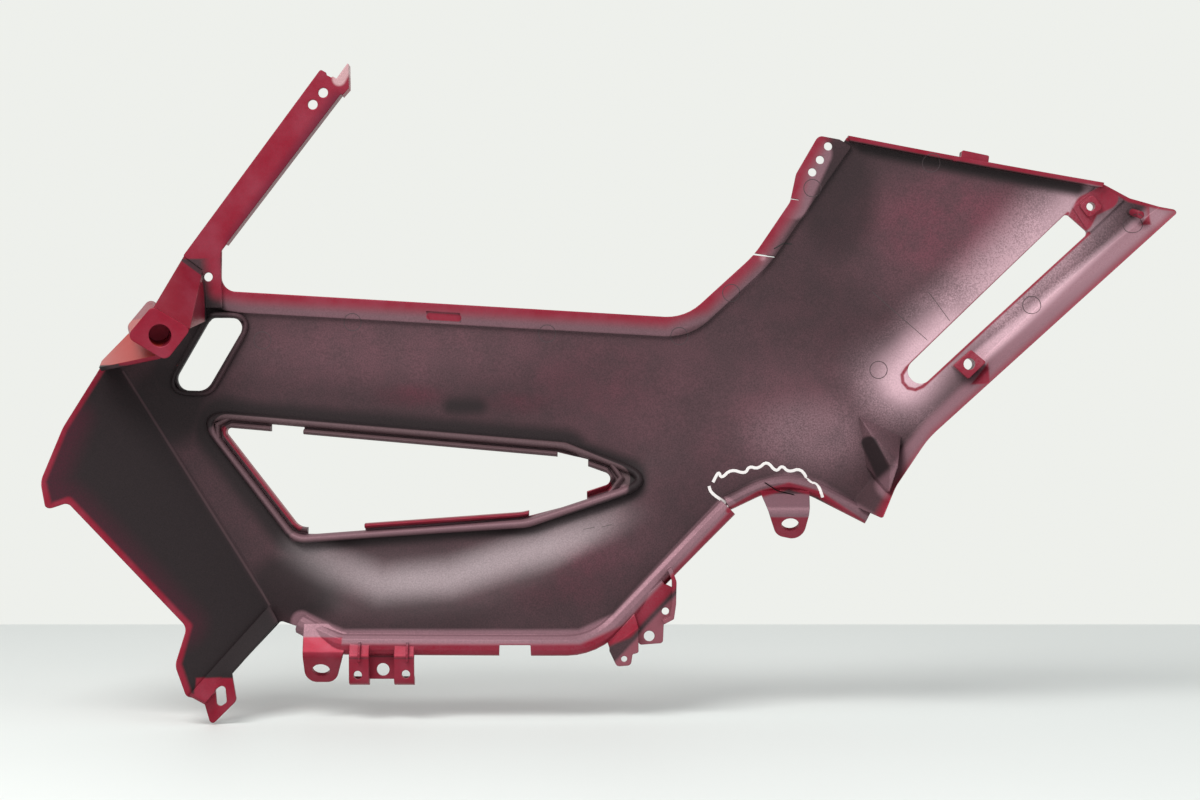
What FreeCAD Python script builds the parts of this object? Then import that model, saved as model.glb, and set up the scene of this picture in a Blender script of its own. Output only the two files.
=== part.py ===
import FreeCAD, Part
import math
import os
import Sketcher
from FreeCAD import Matrix, Placement, Rotation, Vector

# Side cover of a motorcycle, one moulded piece, in millimetres.
# X runs rearward, Y outboard and Z up; the origin is the middle of the main ear's bore.

SIZES = {
    "wall": 2.6,
    "skin_set": 14.0,       # inner face of the skin at the neck, outboard of the bore
    "fore_bow": 5.0,        # how far the front half bows outboard
    "tail_bow": 36.0,       # how far the tail bows inboard
    "bow_fore_span": 340.0,
    "bow_tail_span": 226.0,
    "crown": 6.0,           # how far top and bottom bow inboard
    "crown_z": 60.0,
    "crown_span": 150.0,
    "tuck": 24.0,           # how far the belly under the window steps inboard
    "tuck_width": 46.0,
    "tuck_x": -235.0,
    "tuck_z": -36.0,
    "tuck_rise": 0.00276,
    "tuck_fore": -325.0,
    "tuck_full": -265.0,
    "tuck_fade": -150.0,
    "tuck_end": -45.0,
    "wing_angle": 42.0,
    "sill_angle": 50.0,
    "joggle": 2.0,          # step of the top flange, less than the wall so that both stay joined
    "rim_width": 9.0,
    "rim_height": 4.2,
    "lip_width": 3.6,
    "lip_height": 7.0,
    "rim_overlap": 0.3,     # how far the rims reach into their openings before these are cut
    "groove_width": 1.2,    # between the window's rim and its lip
    "slot_rim_width": 2.4,
    "slot_rim_height": 3.0,
    "edge_lip": 6.0,
    "belly_width": 12.4,
    "arch_width": 9.6,
    "bead_height": 5.2,
    "bead_root": 1.5,       # how deep the beads sit in the wall
    "recess_floor": 14.0,
    "crack_floor": 11.0,
    "patch_height": 1.2,
    "tail_boss_height": 5.0,
    "ear_bore": 10.5,
    "ear_tilt": 42.0,
    "front_ear_bore": 10.5,
    "ear_half_span": 30.0,
    "clip_width": 11.8,
    "clip_fore_x": -19.3,
    "clip_rear_x": 7.4,
    "rib_width": 1.4,
    "rib_fore_x": -13.9,
    "rib_rear_x": 14.5,
    "middle_plate_face": -10.0,
    "bracket_face": -1.6,
    "bracket_wall_height": 5.0,
    "bracket_root": 8.0,
    "prong_face": -12.0,
    "toe_tab_face": -34.0,
    "square_boss_face": -6.0,
    "square_boss_back": 7.0,
    "clip_block_face": -6.0,
    "clip_block_back": 4.0,
    "pin_diameter": 4.4,
    "strut_depth": 15.5,
    "strut_return": 9.0,
    "boss_length": 36.0,
    "boss_bore": 13.0,
    "boss_bore_depth": 24.0,
    "reach": 160.0,         # length of the cutting prisms on either side
}

# Corners of the outlines seen from the inside: x, z and the corner's radius. They are measured from
# the point named by "at", or from the point named last in the corner, or from the origin.
OUTLINES = {
    "skin": {
        "root_low": (-343.8, 134, 0), "root_back": (-361.7, 134.5, 3), "crown": (-383.1, 120.4, 8),
        "wing_top": (-413, 101.1, 14), "wing_edge": (-432.6, 57.4, 30), "wing_heel": (-440.9, 26.1, 14),
        "wing_hook": (-436.6, 9.7, 3), "wing_notch": (-425.9, 13.6, 4), "wing_knee": (-357.9, -60.4, 7),
        "wing_waist": (-362.5, -81.4, 10), "wing_foot": (-355.3, -99, 4),
        "wing_toe": (-344.9, -102.3, 2), "belly_fore": (-306.6, -59.4, 3),
        "belly_start": (-266.6, -69.8, 20), "belly_turn": (-115.8, -69.9, 44),
        "arch_start": (-36.1, 11, 16), "arch_top": (-1, 27.9, 46), "heel": (54.6, 3.1, 1.5),
        "heel_up": (63.1, 21.8, 30), "sill_low": (83, 50.8, 60), "tail_tip": (225.9, 184.9, 2),
        "tail_notch": (199.8, 193.3, 3), "tail_top": (184.2, 202.4, 3), "arm_top": (35, 232.4, 2),
        "arm_mid": (-16, 157.3, 60), "neck": (-62, 116.1, 36),
    },
    "band": {
        "at": "skin_root_low", "start": (-4.9, 30.8, 1), "fore": (0.6, 30.8, 1), "turn": (0.1, 6, 9),
        "neck": (-0.6, 7.3, 30, "skin_neck"), "crack": (-4.9, 4.1, 60, "skin_arm_mid"),
        "tab_low": (-34.3, -39.1, 6, "skin_arm_top"), "tab_bulge": (-30.8, -22.3, 8, "skin_arm_top"),
        "tab_top": (-17.6, 0.5, 4, "skin_arm_top"), "tab_rear": (-4.9, -1.9, 1, "skin_arm_top"),
        "lap_top": (2.3, -6.1, 1, "skin_arm_top"), "lap_mid": (4.7, -1.3, 60, "skin_arm_mid"),
        "lap_neck": (2.4, -4.8, 36, "skin_neck"), "lap_fore": (11.1, -7.3, 10),
        "lap_start": (-5.3, -4.9, 1),
    },
    "slot": {
        "at": "slot_middle", "top_fore": (0.8, 22.6, 5), "top_rear": (24.5, 22.6, 6),
        "low_rear": (-1.6, -21.7, 9), "low_fore": (-24.7, -21.1, 7),
    },
    "window": {
        "at": "window_middle", "fore_top": (-113.4, 30.4, 2.5), "rear_top": (93, 12.3, 30),
        "tip": (130.5, -1, 4), "rear_low": (70.6, -20.9, 40), "fore_low": (-65.7, -30.7, 9),
    },
    "long_slot": {
        "at": "skin_tail_tip", "top": (-61.9, 0.2, 2.5), "rear": (-49, -11.8, 2.5),
        "low": (-146.3, -103.9, 7), "fore": (-157.1, -93.6, 7),
    },
    "tail_lip": {
        "at": "skin_tail_top", "fore": (0, 0, 0, "skin_arm_top"), "rear": (0, 0, 0),
        "rear_in": (-0.6, -2.9, 0), "fore_in": (1.2, -3.3, 0, "skin_arm_top"),
    },
    "notch_top_fore": {
        "at": "window_fore_top", "a": (30, 2.8, 0), "b": (50, 2, 0), "c": (50, -7.4, 0),
        "d": (30, -7.4, 0),
    },
    "notch_top_rear": {
        "at": "window_rear_top", "a": (-2.7, 3, 0), "b": (15.8, -1.5, 0), "c": (15.8, -11.3, 0),
        "d": (-2.7, -9.3, 0),
    },
    "notch_low_rear": {
        "at": "window_rear_low", "a": (2.5, -2.5, 0), "b": (37.5, 6.7, 0), "c": (37.5, 13.9, 0),
        "d": (2.5, 7.9, 0),
    },
    "notch_low_fore": {
        "at": "window_fore_low", "a": (4.7, -3.7, 0), "b": (39.5, -4.1, 0), "c": (39.5, 7.7, 0),
        "d": (4.7, 7.7, 0),
    },
    "belly_notch": {
        "at": "skin_belly_turn", "a": (-57.9, -1.6, 0.6), "b": (-39.4, -1.6, 0.6),
        "c": (-38.8, -20.1, 0), "d": (-58.5, -20.1, 0),
    },
    "ear": {
        "fore_top": (-19.2, 24, 0), "fore": (-11.4, 1.8, 4), "low_fore": (-7.8, -7.8, 7),
        "low_rear": (7.8, -11.2, 8), "rear": (10.8, 4.2, 4), "rear_top": (13, 24, 0),
    },
    "front_ear": {
        "at": "front_ear_middle", "fore_top": (-10.5, 28.5, 0), "low_fore": (-9.9, -8.7, 7),
        "low_rear": (8, -8.7, 7), "rear": (15.7, 15.1, 2), "rear_top": (15.7, 28.5, 0),
    },
    "middle_plate": {
        "at": "clip_root", "a": (-8.7, 2, 0), "b": (8.7, 2, 0), "c": (8.7, -22.4, 1.5),
        "d": (-8.7, -22.4, 1.5),
    },
    "bracket": {
        "at": "skin_belly_turn", "fore_top": (21.6, 16.5, 1), "rear_top": (40.4, 33.6, 2),
        "rear": (45.4, 31.3, 1), "rear_low": (45.4, 12.9, 1), "step": (40.1, 10.2, 1.5),
        "low_rear": (39.5, -2, 2), "low_fore": (25.1, -3.1, 2),
    },
    "bracket_top": {
        "at": "skin_belly_turn", "fore": (21.6, 16.5, 0), "rear": (40.4, 33.6, 0),
        "rear_in": (39, 35.2, 0), "fore_in": (20.2, 18.1, 0),
    },
    "bracket_wall": {
        "at": "skin_belly_turn", "top_in": (42.4, 42, 0), "top": (44.6, 43.9, 0.8),
        "bend": (47.6, 35.1, 5), "rear": (47.3, 21.5, 8), "rear_low": (46, 12.7, 1),
        "step": (40.1, 9.6, 0), "step_in": (39.2, 12, 0), "low_in": (43.6, 14.3, 0.5),
        "rear_in": (44.8, 22.1, 6), "bend_in": (45, 35, 3),
    },
    "prong": {
        "at": "skin_belly_turn", "fore": (7.4, -3.9, 0), "top": (24.6, 8.1, 0),
        "rear": (24.8, -6.7, 1.5), "step": (21.2, -7.7, 1), "low_rear": (20.2, -14.3, 2.5),
        "low_fore": (11.8, -14.9, 2.5), "side": (7.4, -5.7, 0.5),
    },
    "toe_tab": {
        "at": "skin_wing_toe", "fore": (-2.5, 3.2, 1), "rear": (14.5, 18.3, 1),
        "low_rear": (17.7, -0.3, 4), "low_fore": (2.8, -15, 2),
    },
    "strut": {
        "at": "skin_root_low", "tip": (60.6, 139.9, 1.5), "end": (77.2, 130.4, 1), "foot": (0, 29.5, 6),
        "plate_rear": (1.2, -4.5, 0), "plate_fore": (-13.4, -4.5, 0), "elbow": (-10.9, 18.6, 0),
        "heel": (-22.5, 27.1, 1),
    },
    "strut_return": {
        "at": "strut_end", "end": (0, 0, 0), "foot": (3.3, 4.3, 0, "strut_foot"),
        "foot_in": (1.6, 5.6, 0, "strut_foot"), "end_in": (-1.7, 1.3, 0),
    },
    "strut_notch": {
        "at": "strut_tip", "a": (1.2, 5.1, 0), "b": (6.2, 2.1, 0), "c": (7.8, -5.5, 0.8),
        "d": (3.8, -3.5, 0.8),
    },
    "fin": {
        "at": "strut_end", "a": (-8.3, 2, 0), "b": (0.4, 14, 0.5), "c": (0.6, -1.9, 0),
        "d": (-3.4, -6.4, 0),
    },
    "boss": {
        "at": "boss_mouth", "top": (-4.7, 17.2, 4), "rear": (18.1, 3.8, 3), "low": (3.5, -14.9, 5),
        "fore": (-19.8, -0.9, 4),
    },
    "tail_patch": {
        "at": "skin_tail_top", "fore": (-17, -13.8, 1), "top": (-1.8, -0.4, 1), "rear": (12.6, -9.8, 1),
        "low": (-7.3, -29.3, 1),
    },
    "tail_boss": {
        "at": "tail_boss_hole", "fore": (-6.7, 0.8, 2), "top": (1.3, 7, 2), "rear": (6.9, -0.8, 2),
        "low": (-0.9, -7, 2),
    },
    "square_boss": {
        "at": "square_boss_hole", "top": (1, 8.5, 1), "rear": (10, 1.1, 1), "low": (-0.6, -8.9, 1),
        "fore": (-9.6, -0.9, 1),
    },
    "clip_block": {
        "at": "skin_tail_top", "a": (-81.8, 20.8, 1), "b": (-65.6, 17.4, 1), "c": (-66.2, 12.2, 1),
        "d": (-82.4, 15.2, 1),
    },
    "toe_hole": {
        "at": "skin_wing_toe", "a": (5.3, 6.7, 2.2), "b": (11.1, 9.5, 2.2), "c": (12.1, -1.3, 2.2),
        "d": (6.3, -4.9, 2.2),
    },
    "arm_crack": {
        "at": "skin_arm_mid", "a": (-8, 5.5, 0), "b": (7.6, 3.2, 0), "c": (7.6, 2.5, 0),
        "d": (-8, 4.3, 0),
    },
    "tab_crack": {
        "at": "skin_arm_mid", "a": (12, 38.9, 0), "b": (22, 37.3, 0), "c": (22, 36.9, 0),
        "d": (12, 38.1, 0),
    },
    "arch_crack": {
        "a": (-14.4, 24.2, 0), "b": (-6.8, 19.3, 0), "c": (3.2, 16.9, 0), "d": (3.2, 16.3, 0),
        "e": (-7.1, 18.7, 0), "f": (-14.8, 23.7, 0),
    },
    "band_recess": {
        "at": "skin_neck", "a": (-157.4, 11.5, 0), "b": (-136.8, 10.1, 0), "c": (-136, 4.5, 0),
        "d": (-155, 5.5, 0),
    },
    "belly_bead": {
        "at": "skin_belly_turn", "fore": (-26.2, 8.9, 0, "skin_belly_start"),
        "step": (-1.8, -1.8, 14, "skin_belly_start"), "turn": (-1.8, -2.3, 38),
        "rear": (-0.5, -2, 0, "skin_arch_start"),
    },
    "arch_bead": {
        "at": "skin_arch_top", "fore": (-1.3, 0.4, 0, "skin_arch_start"), "top": (-0.2, 0.7, 44),
        "rear": (-6.4, 0.3, 0, "skin_heel"),
    },
}

# Bent sheets seen along X: y, z and the bend's radius, measured in the same way.
PROFILES = {
    "ear_profile": {
        "low_front": (7.7, -10.9, 0), "low_back": (9.7, -9.2, 0), "bend_back": (-5, 7.5, 1),
        "top_back": (13.7, 18.2, 0), "top_front": (12.4, 20.4, 0), "bend_front": (-9.1, 8.1, 3.6),
    },
    "front_ear_profile": {
        "at": "front_ear_middle", "top_front": (-0.8, 27.1, 0), "top_back": (1.6, 25.9, 0),
        "bend_back": (-6.5, 9.2, 1), "low_back": (8.9, -7.9, 0), "low_front": (6.9, -9.7, 0),
        "bend_front": (-9.7, 8.8, 3.6),
    },
    "clip_profile": {
        "at": "clip_root", "top_back": (0, 2, 0), "top_front": (-7.6, 0.4, 3), "front": (-13.4, -8, 4),
        "low_front": (-12.4, -24, 4), "low_back": (-4, -26, 2), "low_in": (-4, -21.6, 1),
        "in_low": (-9, -19.4, 1.6), "in_front": (-9.8, -9.4, 2), "in_top": (-5.4, -3.4, 2),
        "back": (0, -3, 0),
    },
    "rib_profile": {
        "at": "clip_root", "top_back": (-6, 1, 0), "top_front": (-11.4, -0.6, 1),
        "front": (-16, -6, 1.5), "low_front": (-16, -11.5, 1.5), "low_back": (-11, -11.5, 0),
        "back": (-6, -3.6, 0),
    },
}

# Round holes: x, z, diameter, the depth range that the drill passes along Y, and the point that
# x and z are measured from.
HOLES = {
    "tab_hole_a": (-11.7, -5.9, 5, -30, 40, "skin_arm_top"),
    "tab_hole_b": (-16.5, -14, 5, -30, 40, "skin_arm_top"),
    "tab_hole_c": (-21.1, -21.4, 5, -30, 40, "skin_arm_top"),
    "strut_hole_a": (1.6, -14.1, 6, 0, 40, "strut_tip"),
    "strut_hole_b": (-4.7, -21.3, 6, 0, 40, "strut_tip"),
    "plate_hole": (3.6, -4.3, 5.4, 0, 40, "strut_elbow"),
    "clip_hole_a": (-14.1, -19, 5, -40, -15, "clip_root"),
    "clip_hole_b": (14.4, -18.5, 5, -40, -15, "clip_root"),
    "middle_hole": (0, -16.8, 7.6, -30, 10, "clip_root"),
    "bracket_hole": (31.3, 2.2, 6.4, -30, 10, "skin_belly_turn"),
    "bracket_pin_hole": (41, 17.1, 4.4, -30, 10, "skin_belly_turn"),
    "prong_hole": (16.2, -10.5, 3.6, -30, 10, "skin_belly_turn"),
    "tail_boss_hole": (-7.1, -13.8, 5, -40, 0, "skin_tail_top"),
    "square_boss_hole": (27.2, 14.3, 7, -20, 20, "long_slot_low"),
}

# Places in space: x, y, z and the point that they are measured from.
SPOTS = {
    "roof_back_rear": (17, 15, 16.9, "skin_wing_top"),
    "roof_back_fore": (-3, 15, -3.6, "skin_wing_top"),
    "roof_front_rear": (-1.4, 2, -11.4, "boss_mouth"),
    "roof_front_fore": (2, -18, -8.1, "skin_wing_top"),
    "toe_back_fore": (-7.9, -44, 4.9, "skin_wing_toe"),
    "toe_back_rear": (-6.7, 8, 9.4, "skin_belly_fore"),
    "toe_front_rear": (-0.6, 0, 0.6, "skin_belly_fore"),
    "toe_front_fore": (0.8, -42, -0.3, "skin_wing_toe"),
    "arm_top_fore": (0.3, 14, -0.1, "strut_heel"),
    "arm_top_rear": (0, 14, 0, "strut_elbow"),
    "arm_low_fore": (-3.9, 2, 17, "boss_mouth"),
    "arm_low_rear": (17.1, 2, 4.2, "boss_mouth"),
    "web_top_rear": (2.7, 16, -12.6, "strut_elbow"),
    "web_low_rear": (18.1, 58, 10.6, "boss_mouth"),
    "pocket_apex": (-12.3, 13, 61.6, "skin_heel"),
    "pocket_rear": (13.7, 13, 50.2, "skin_heel"),
    "pocket_peak": (3.8, -14, 32.1, "skin_heel"),
    "pocket_peak_rear": (8.5, -14, 32.1, "skin_heel"),
    "pocket_fore": (-8, 13, 30.9, "skin_heel"),
    "pocket_low": (1.6, 13, 14, "skin_heel"),
    "pocket_front": (3.9, -8, 15.8, "skin_heel"),
    "pocket_sill": (11.4, 13, 24.9, "skin_heel"),
    "pocket_shift": (2.2, 4, -2.6, None),
    "prong_fold_fore": (0, -12, 0, "prong_fore"),
    "prong_fold_rear": (0, -12, 0, "prong_top"),
    "prong_root_rear": (22.2, -4, 16.3, "skin_belly_turn"),
    "prong_root_fore": (6, -8, -0.1, "skin_belly_turn"),
    "pin_root": (-27.2, -12, 2, "skin_tail_tip"),
    "pin_tip": (5.3, -18, -4.3, "pin_root"),
    "front_ear_middle": (-13.7, -7.9, -16.7, "skin_belly_start"),
    "boss_mouth": (12.5, -42, -9, "skin_crown"),
    "lean": (-0.22, 1, 0.16, None),
    "clip_root": (23.3, -8, -0.2, "skin_belly_start"),
    "window_middle": (-230, 0, 27, None),
    "slot_middle": (-351, 0, 101, None),
}

# Straight folds of the skin: two points of the fold line, seen from the inside.
FOLDS = {
    "wing": ((8.6, -10.3, "skin_wing_top"), (-7.7, 9.1, "skin_belly_fore")),
    "sill": ((14.3, -5.7, "long_slot_low"), (-5, 6.4, "skin_tail_tip")),
}

# Even grid on which the skin's depth is worked out.
X_STATIONS = [-475 + 25 * i for i in range(30)]
Z_STATIONS = [-135 + 16.5 * k for k in range(25)]
RUN_STEP = 26.0
ARC_STEP = 6.0
CREST_POINTS = 7

doc = FreeCAD.newDocument("side_cover")
sheet = doc.addObject("Spreadsheet::Sheet", "dims")
used_rows = []


def put(alias, value):
    used_rows.append(alias)
    row = len(used_rows)
    sheet.set(f"A{row}", alias)
    sheet.set(f"B{row}", str(value))
    sheet.setAlias(f"B{row}", alias)


def size(alias):
    return float(sheet.get(alias))


anchors = {}


def put_point(stem, axes, values, anchor):
    """Cells of one point, and the point that it is measured from."""
    anchors[stem] = anchor
    for axis, value in zip(axes, values):
        put(f"{stem}_{axis}", value)


def chain(stem, axis):
    """Cells that add up to a point's place along one axis."""
    cells = []
    while stem:
        if f"{stem}_{axis}" in used_rows:
            cells.append(f"{stem}_{axis}")
        stem = anchors[stem]
    return cells


def where(stem, axis):
    return " + ".join(f"dims.{cell}" for cell in chain(stem, axis))


def at(stem, axis):
    return sum(size(cell) for cell in chain(stem, axis))


for alias, value in SIZES.items():
    put(alias, value)
for outline, corners in (OUTLINES | PROFILES).items():
    for corner, entry in corners.items():
        if corner != "at":
            anchor = entry[3] if len(entry) > 3 else corners.get("at")
            put_point(f"{outline}_{corner}", "xz" if outline in OUTLINES else "yz", entry, anchor)
            if entry[2]:
                put(f"{outline}_{corner}_r", entry[2])
for fold, points in FOLDS.items():
    for end, entry in zip("ab", points):
        put_point(f"{fold}_{end}", "xz", entry, entry[2])
for hole, entry in HOLES.items():
    put_point(hole, ("x", "z", "bore", "near", "far"), entry, entry[5])
for name, entry in SPOTS.items():
    put_point(name, "xyz", entry, entry[3])
doc.recompute()

ELEVATION = Rotation(Vector(1, 0, 0), 90)
PROFILE = Rotation(Vector(1, 1, 1), 120)


def corner_arc(before, corner, after, radius):
    """Start, end and middle of the arc that rounds one corner."""
    back = (before - corner).normalize()
    on = (after - corner).normalize()
    half = back.getAngle(on) / 2
    run = radius / math.tan(half)
    middle = corner + (back + on).normalize() * (radius / math.sin(half))
    return corner + back * run, corner + on * run, middle


def outline_sketch(outline):
    """Closed outline with rounded corners; each corner and radius follows its cells."""
    corners = OUTLINES.get(outline) or PROFILES[outline]
    sketch = doc.addObject("Sketcher::SketchObject", f"{outline}_sketch")
    sketch.Placement = Placement(Vector(), ELEVATION if outline in OUTLINES else PROFILE)
    names = [name for name in corners if name != "at"]
    axes = "xz" if outline in OUTLINES else "yz"
    count = len(names)
    stems = [f"{outline}_{name}" for name in names]
    spots = [Vector(at(stem, axes[0]), at(stem, axes[1]), 0) for stem in stems]
    rounds = [corners[name][2] > 0 for name in names]
    ends = []
    for i in range(count):
        if rounds[i]:
            radius = size(f"{stems[i]}_r")
            ends.append(corner_arc(spots[i - 1], spots[i], spots[(i + 1) % count], radius))
        else:
            ends.append((spots[i], spots[i], None))
    lines = [sketch.addGeometry(Part.LineSegment(ends[i][1], ends[(i + 1) % count][0]), False)
             for i in range(count)]
    bound = []
    rules = []
    for i in range(count):
        before, after = lines[i - 1], lines[i]
        if rounds[i]:
            start, end, middle = ends[i]
            radius = (start - middle).Length
            turn = [math.atan2(p.y - middle.y, p.x - middle.x) for p in (start, end)]
            left = (start - middle).cross(end - middle).z > 0
            if not left:
                turn.reverse()
            circle = Part.Circle(middle, Vector(0, 0, 1), radius)
            arc = sketch.addGeometry(Part.ArcOfCircle(circle, *turn), False)
            spot = sketch.addGeometry(Part.Point(spots[i]), True)
            rules.append(Sketcher.Constraint("Tangent", before, 2, arc, 1 if left else 2))
            rules.append(Sketcher.Constraint("Tangent", after, 1, arc, 2 if left else 1))
            rules.append(Sketcher.Constraint("PointOnObject", spot, 1, before))
            rules.append(Sketcher.Constraint("PointOnObject", spot, 1, after))
            bound.append((len(rules), f"{stems[i]}_r", f"dims.{stems[i]}_r"))
            rules.append(Sketcher.Constraint("Radius", arc, radius))
        else:
            spot = after
            rules.append(Sketcher.Constraint("Coincident", before, 2, after, 1))
        bound.append((len(rules), f"{stems[i]}_{axes[0]}", where(stems[i], axes[0])))
        rules.append(Sketcher.Constraint("DistanceX", spot, 1, spots[i].x))
        bound.append((len(rules), f"{stems[i]}_{axes[1]}", where(stems[i], axes[1])))
        rules.append(Sketcher.Constraint("DistanceY", spot, 1, spots[i].y))
    sketch.addConstraint(rules)
    for index, alias, rule in bound:
        sketch.renameConstraint(index, alias)
        sketch.setExpression(f"Constraints.{alias}", rule)
    return sketch


def prism(name, base, inboard="dims.reach", outboard="dims.reach"):
    """Solid of an elevation outline, carried inboard and outboard of its plane."""
    solid = doc.addObject("Part::Extrusion", name)
    solid.Base = base
    solid.DirMode = "Custom"
    solid.Dir = Vector(0, -1, 0)
    solid.Solid = True
    solid.setExpression("LengthFwd", inboard)
    solid.setExpression("LengthRev", outboard)
    return solid


def combine(kind, name, shapes):
    solid = doc.addObject(kind, name)
    solid.Shapes = shapes
    return solid


def common(name, *shapes):
    return combine("Part::MultiCommon", name, list(shapes))


def fuse(name, *shapes):
    return combine("Part::MultiFuse", name, list(shapes))


def cut(name, base, *tools):
    solid = doc.addObject("Part::Cut", name)
    solid.Base = base
    solid.Tool = tools[0] if len(tools) == 1 else fuse(f"{name}_tools", *tools)
    solid.Refine = False
    return solid


def ease(t):
    t = min(max(t, 0.0), 1.0)
    return t * t * (3 - 2 * t)


def skin_depth(x, z):
    """Depth of the skin's inner face at one spot of the elevation."""
    fore = size("fore_bow") * (min(x, 0) / size("bow_fore_span")) ** 2
    tail = size("tail_bow") * (max(x, 0) / size("bow_tail_span")) ** 2
    crown = size("crown") * ((z - size("crown_z")) / size("crown_span")) ** 2
    line = size("tuck_z") + size("tuck_rise") * (x - size("tuck_x")) ** 2
    share = ease((x - size("tuck_fore")) / (size("tuck_full") - size("tuck_fore")))
    share *= 1 - ease((x - size("tuck_fade")) / (size("tuck_end") - size("tuck_fade")))
    tuck = size("tuck") * share * ease(0.5 + (line - z) / size("tuck_width"))
    return size("skin_set") + fore - tail - crown - tuck


def skin_normal(x, z):
    step = 1.0
    slope_x = (skin_depth(x + step, z) - skin_depth(x - step, z)) / (2 * step)
    slope_z = (skin_depth(x, z + step) - skin_depth(x, z - step)) / (2 * step)
    return Vector(-slope_x, 1, -slope_z).normalize()


def skin_point(x, z, offset):
    return Vector(x, skin_depth(x, z), z) + skin_normal(x, z) * offset


def skin_face(offset, drop):
    """Smooth face along the skin, offset outboard and then dropped straight inboard."""
    drop_by = Vector(0, drop, 0)
    rows = [[skin_point(x, z, offset) - drop_by for z in Z_STATIONS] for x in X_STATIONS]
    surface = Part.BSplineSurface()
    surface.interpolate(rows)
    return surface.toShape()


def slab(name, outer, drop):
    """Layer that follows the skin, from its inner face dropped inboard to an outboard offset."""
    near, far = skin_face(0, drop), skin_face(outer, 0)
    sides = [Part.makeRuledSurface(a, b) for a, b in zip(near.Edges, far.Edges)]
    solid = Part.Solid(Part.Shell([near, far] + sides))
    if solid.Volume < 0:
        solid.reverse()
    layer = doc.addObject("Part::Feature", name)
    layer.Shape = solid
    return layer


def fold_box(name, fold, angle, past, before, beyond, inboard):
    """Box on the slope of a fold: its far face lies one wall outboard of the fold's plane."""
    a, b = (Vector(at(f"{fold}_{end}", "x"), 0, at(f"{fold}_{end}", "z")) for end in "ab")
    a.y = skin_depth(a.x, a.z)
    b.y = skin_depth(b.x, b.z)
    along = (b - a).normalize()
    flat = Vector(0, 1, 0).cross(along).normalize()
    tilt = math.radians(size(angle))
    down = flat * math.cos(tilt) - Vector(0, 1, 0) * math.sin(tilt)
    down = (down - along * down.dot(along)).normalize()
    out = along.cross(down) * -1
    if out.y < 0:
        out = out * -1
    box = doc.addObject("Part::Box", name)
    length = (b - a).Length
    corner = a - along * past - down * before - out * inboard
    third = down if along.cross(down).dot(out) > 0 else down * -1
    if third.dot(down) < 0:
        corner = corner + down * (before + beyond)
    frame = Matrix(along.x, third.x, out.x, corner.x, along.y, third.y, out.y, corner.y,
                   along.z, third.z, out.z, corner.z, 0, 0, 0, 1)
    box.Length = length + 2 * past
    box.Width = before + beyond
    box.setExpression("Height", f"dims.wall + {inboard}")
    box.Placement = Placement(frame)
    return box


# Skin, wing and sill: three layers that meet in folds, cut to the outline.
skin_layer = slab("skin_layer", size("wall"), 0)
inside = slab("inside", size("wall"), 260)
wing_keep = fold_box("wing_keep", "wing", "wing_angle", 800, 900, 300, 900)
sill_keep = fold_box("sill_keep", "sill", "sill_angle", 800, 900, 300, 900)
wing_layer = fold_box("wing_layer", "wing", "wing_angle", 120, 40, 160, 0)
sill_layer = fold_box("sill_layer", "sill", "sill_angle", 140, 20, 60, 0)
skin_bent = common("skin_bent", skin_layer, wing_keep, sill_keep)
wing_bent = common("wing_bent", wing_layer, inside)
sill_bent = common("sill_bent", sill_layer, inside)
bent = fuse("bent", skin_bent, wing_bent, sill_bent)
skin_prism = prism("skin_prism", outline_sketch("skin"))
panel = common("panel", bent, skin_prism)


def plate(name, near, far):
    """Flat plate of the outline of the same name, between two depths."""
    return prism(f"{name}_plate", outline_sketch(name), f"-({near})", far)


def bent_sheet(name, profile, start, width):
    """Bent sheet of a profile, from one x for a width along X."""
    solid = doc.addObject("Part::Extrusion", name)
    solid.Base = doc.getObject(f"{profile}_sketch") or outline_sketch(profile)
    solid.DirMode = "Custom"
    solid.Dir = Vector(1, 0, 0)
    solid.Solid = True
    solid.setExpression("LengthFwd", f"{start} + {width}")
    solid.setExpression("LengthRev", f"-({start})")
    return solid


def drill(hole):
    """Straight round hole along Y."""
    tool = doc.addObject("Part::Cylinder", hole)
    tool.Placement = Placement(Vector(), Rotation(Vector(1, 0, 0), -90))
    tool.setExpression("Radius", f"dims.{hole}_bore / 2")
    tool.setExpression("Height", f"dims.{hole}_far - dims.{hole}_near")
    tool.setExpression("Placement.Base.x", where(hole, "x"))
    tool.setExpression("Placement.Base.y", f"dims.{hole}_near")
    tool.setExpression("Placement.Base.z", where(hole, "z"))
    return tool


def rod(name, start, end, radius):
    """Round bar or bore between two points."""
    axis = end - start
    bar = doc.addObject("Part::Cylinder", name)
    bar.setExpression("Radius", radius)
    bar.Height = axis.Length
    bar.Placement = Placement(start, Rotation(Vector(0, 0, 1), axis))
    return bar


def spot(name):
    return Vector(*(at(name, axis) for axis in "xyz"))


def sloping_wall(name, a, b, c, d, thickness):
    """Ruled wall between the edges a-b and d-c, thickened along its mean normal."""
    a, b, c, d = (spot(n) for n in (a, b, c, d))
    normal = (c - a).cross(d - b).normalize() * thickness
    ends = []
    for edge_name, p, q in (("start", a, b), ("end", d, c)):
        wire = doc.addObject("Part::Feature", f"{name}_{edge_name}")
        wire.Shape = Part.makePolygon([p, q, q + normal, p + normal, p])
        ends.append(wire)
    wall = doc.addObject("Part::Loft", name)
    wall.Sections = ends
    wall.Solid = True
    wall.Ruled = True
    return wall


def polyhedron(name, faces, shift):
    """Solid with triangular faces between named spots."""
    shells = [Part.Face(Part.makePolygon([spot(n) + shift for n in face + face[:1]])) for face in faces]
    solid = Part.Solid(Part.Shell(shells))
    if solid.Volume < 0:
        solid.reverse()
    body = doc.addObject("Part::Feature", name)
    body.Shape = solid
    return body


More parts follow.
